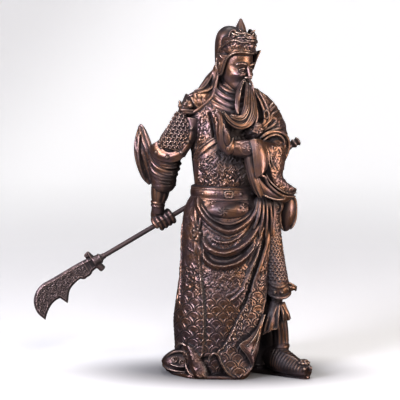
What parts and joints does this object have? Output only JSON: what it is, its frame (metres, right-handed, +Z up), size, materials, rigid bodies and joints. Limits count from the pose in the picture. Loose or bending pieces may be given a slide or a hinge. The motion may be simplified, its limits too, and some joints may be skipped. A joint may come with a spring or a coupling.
{
  "type": "standing warrior statue",
  "caption": "Bronze-finished figurine of a bearded warrior in robe and armour, one hand raised, the other holding a crescent glaive low, on a thin ground.",
  "frame": {"origin": "on the flat underside, below the middle of the waist", "axes": "+Z up; the viewer of the front looks along +Y; +X is to the viewer's right, the glaive's blade is towards -X"},
  "size_m": [0.2376, 0.0811, 0.3],
  "materials": {
    "cast_bronze": "satin",
    "dark_bronze": "satin"
  },
  "bodies": {
    "root": {"figure": "cast_bronze", "glaive": "dark_bronze"}
  },
  "joints": []
}
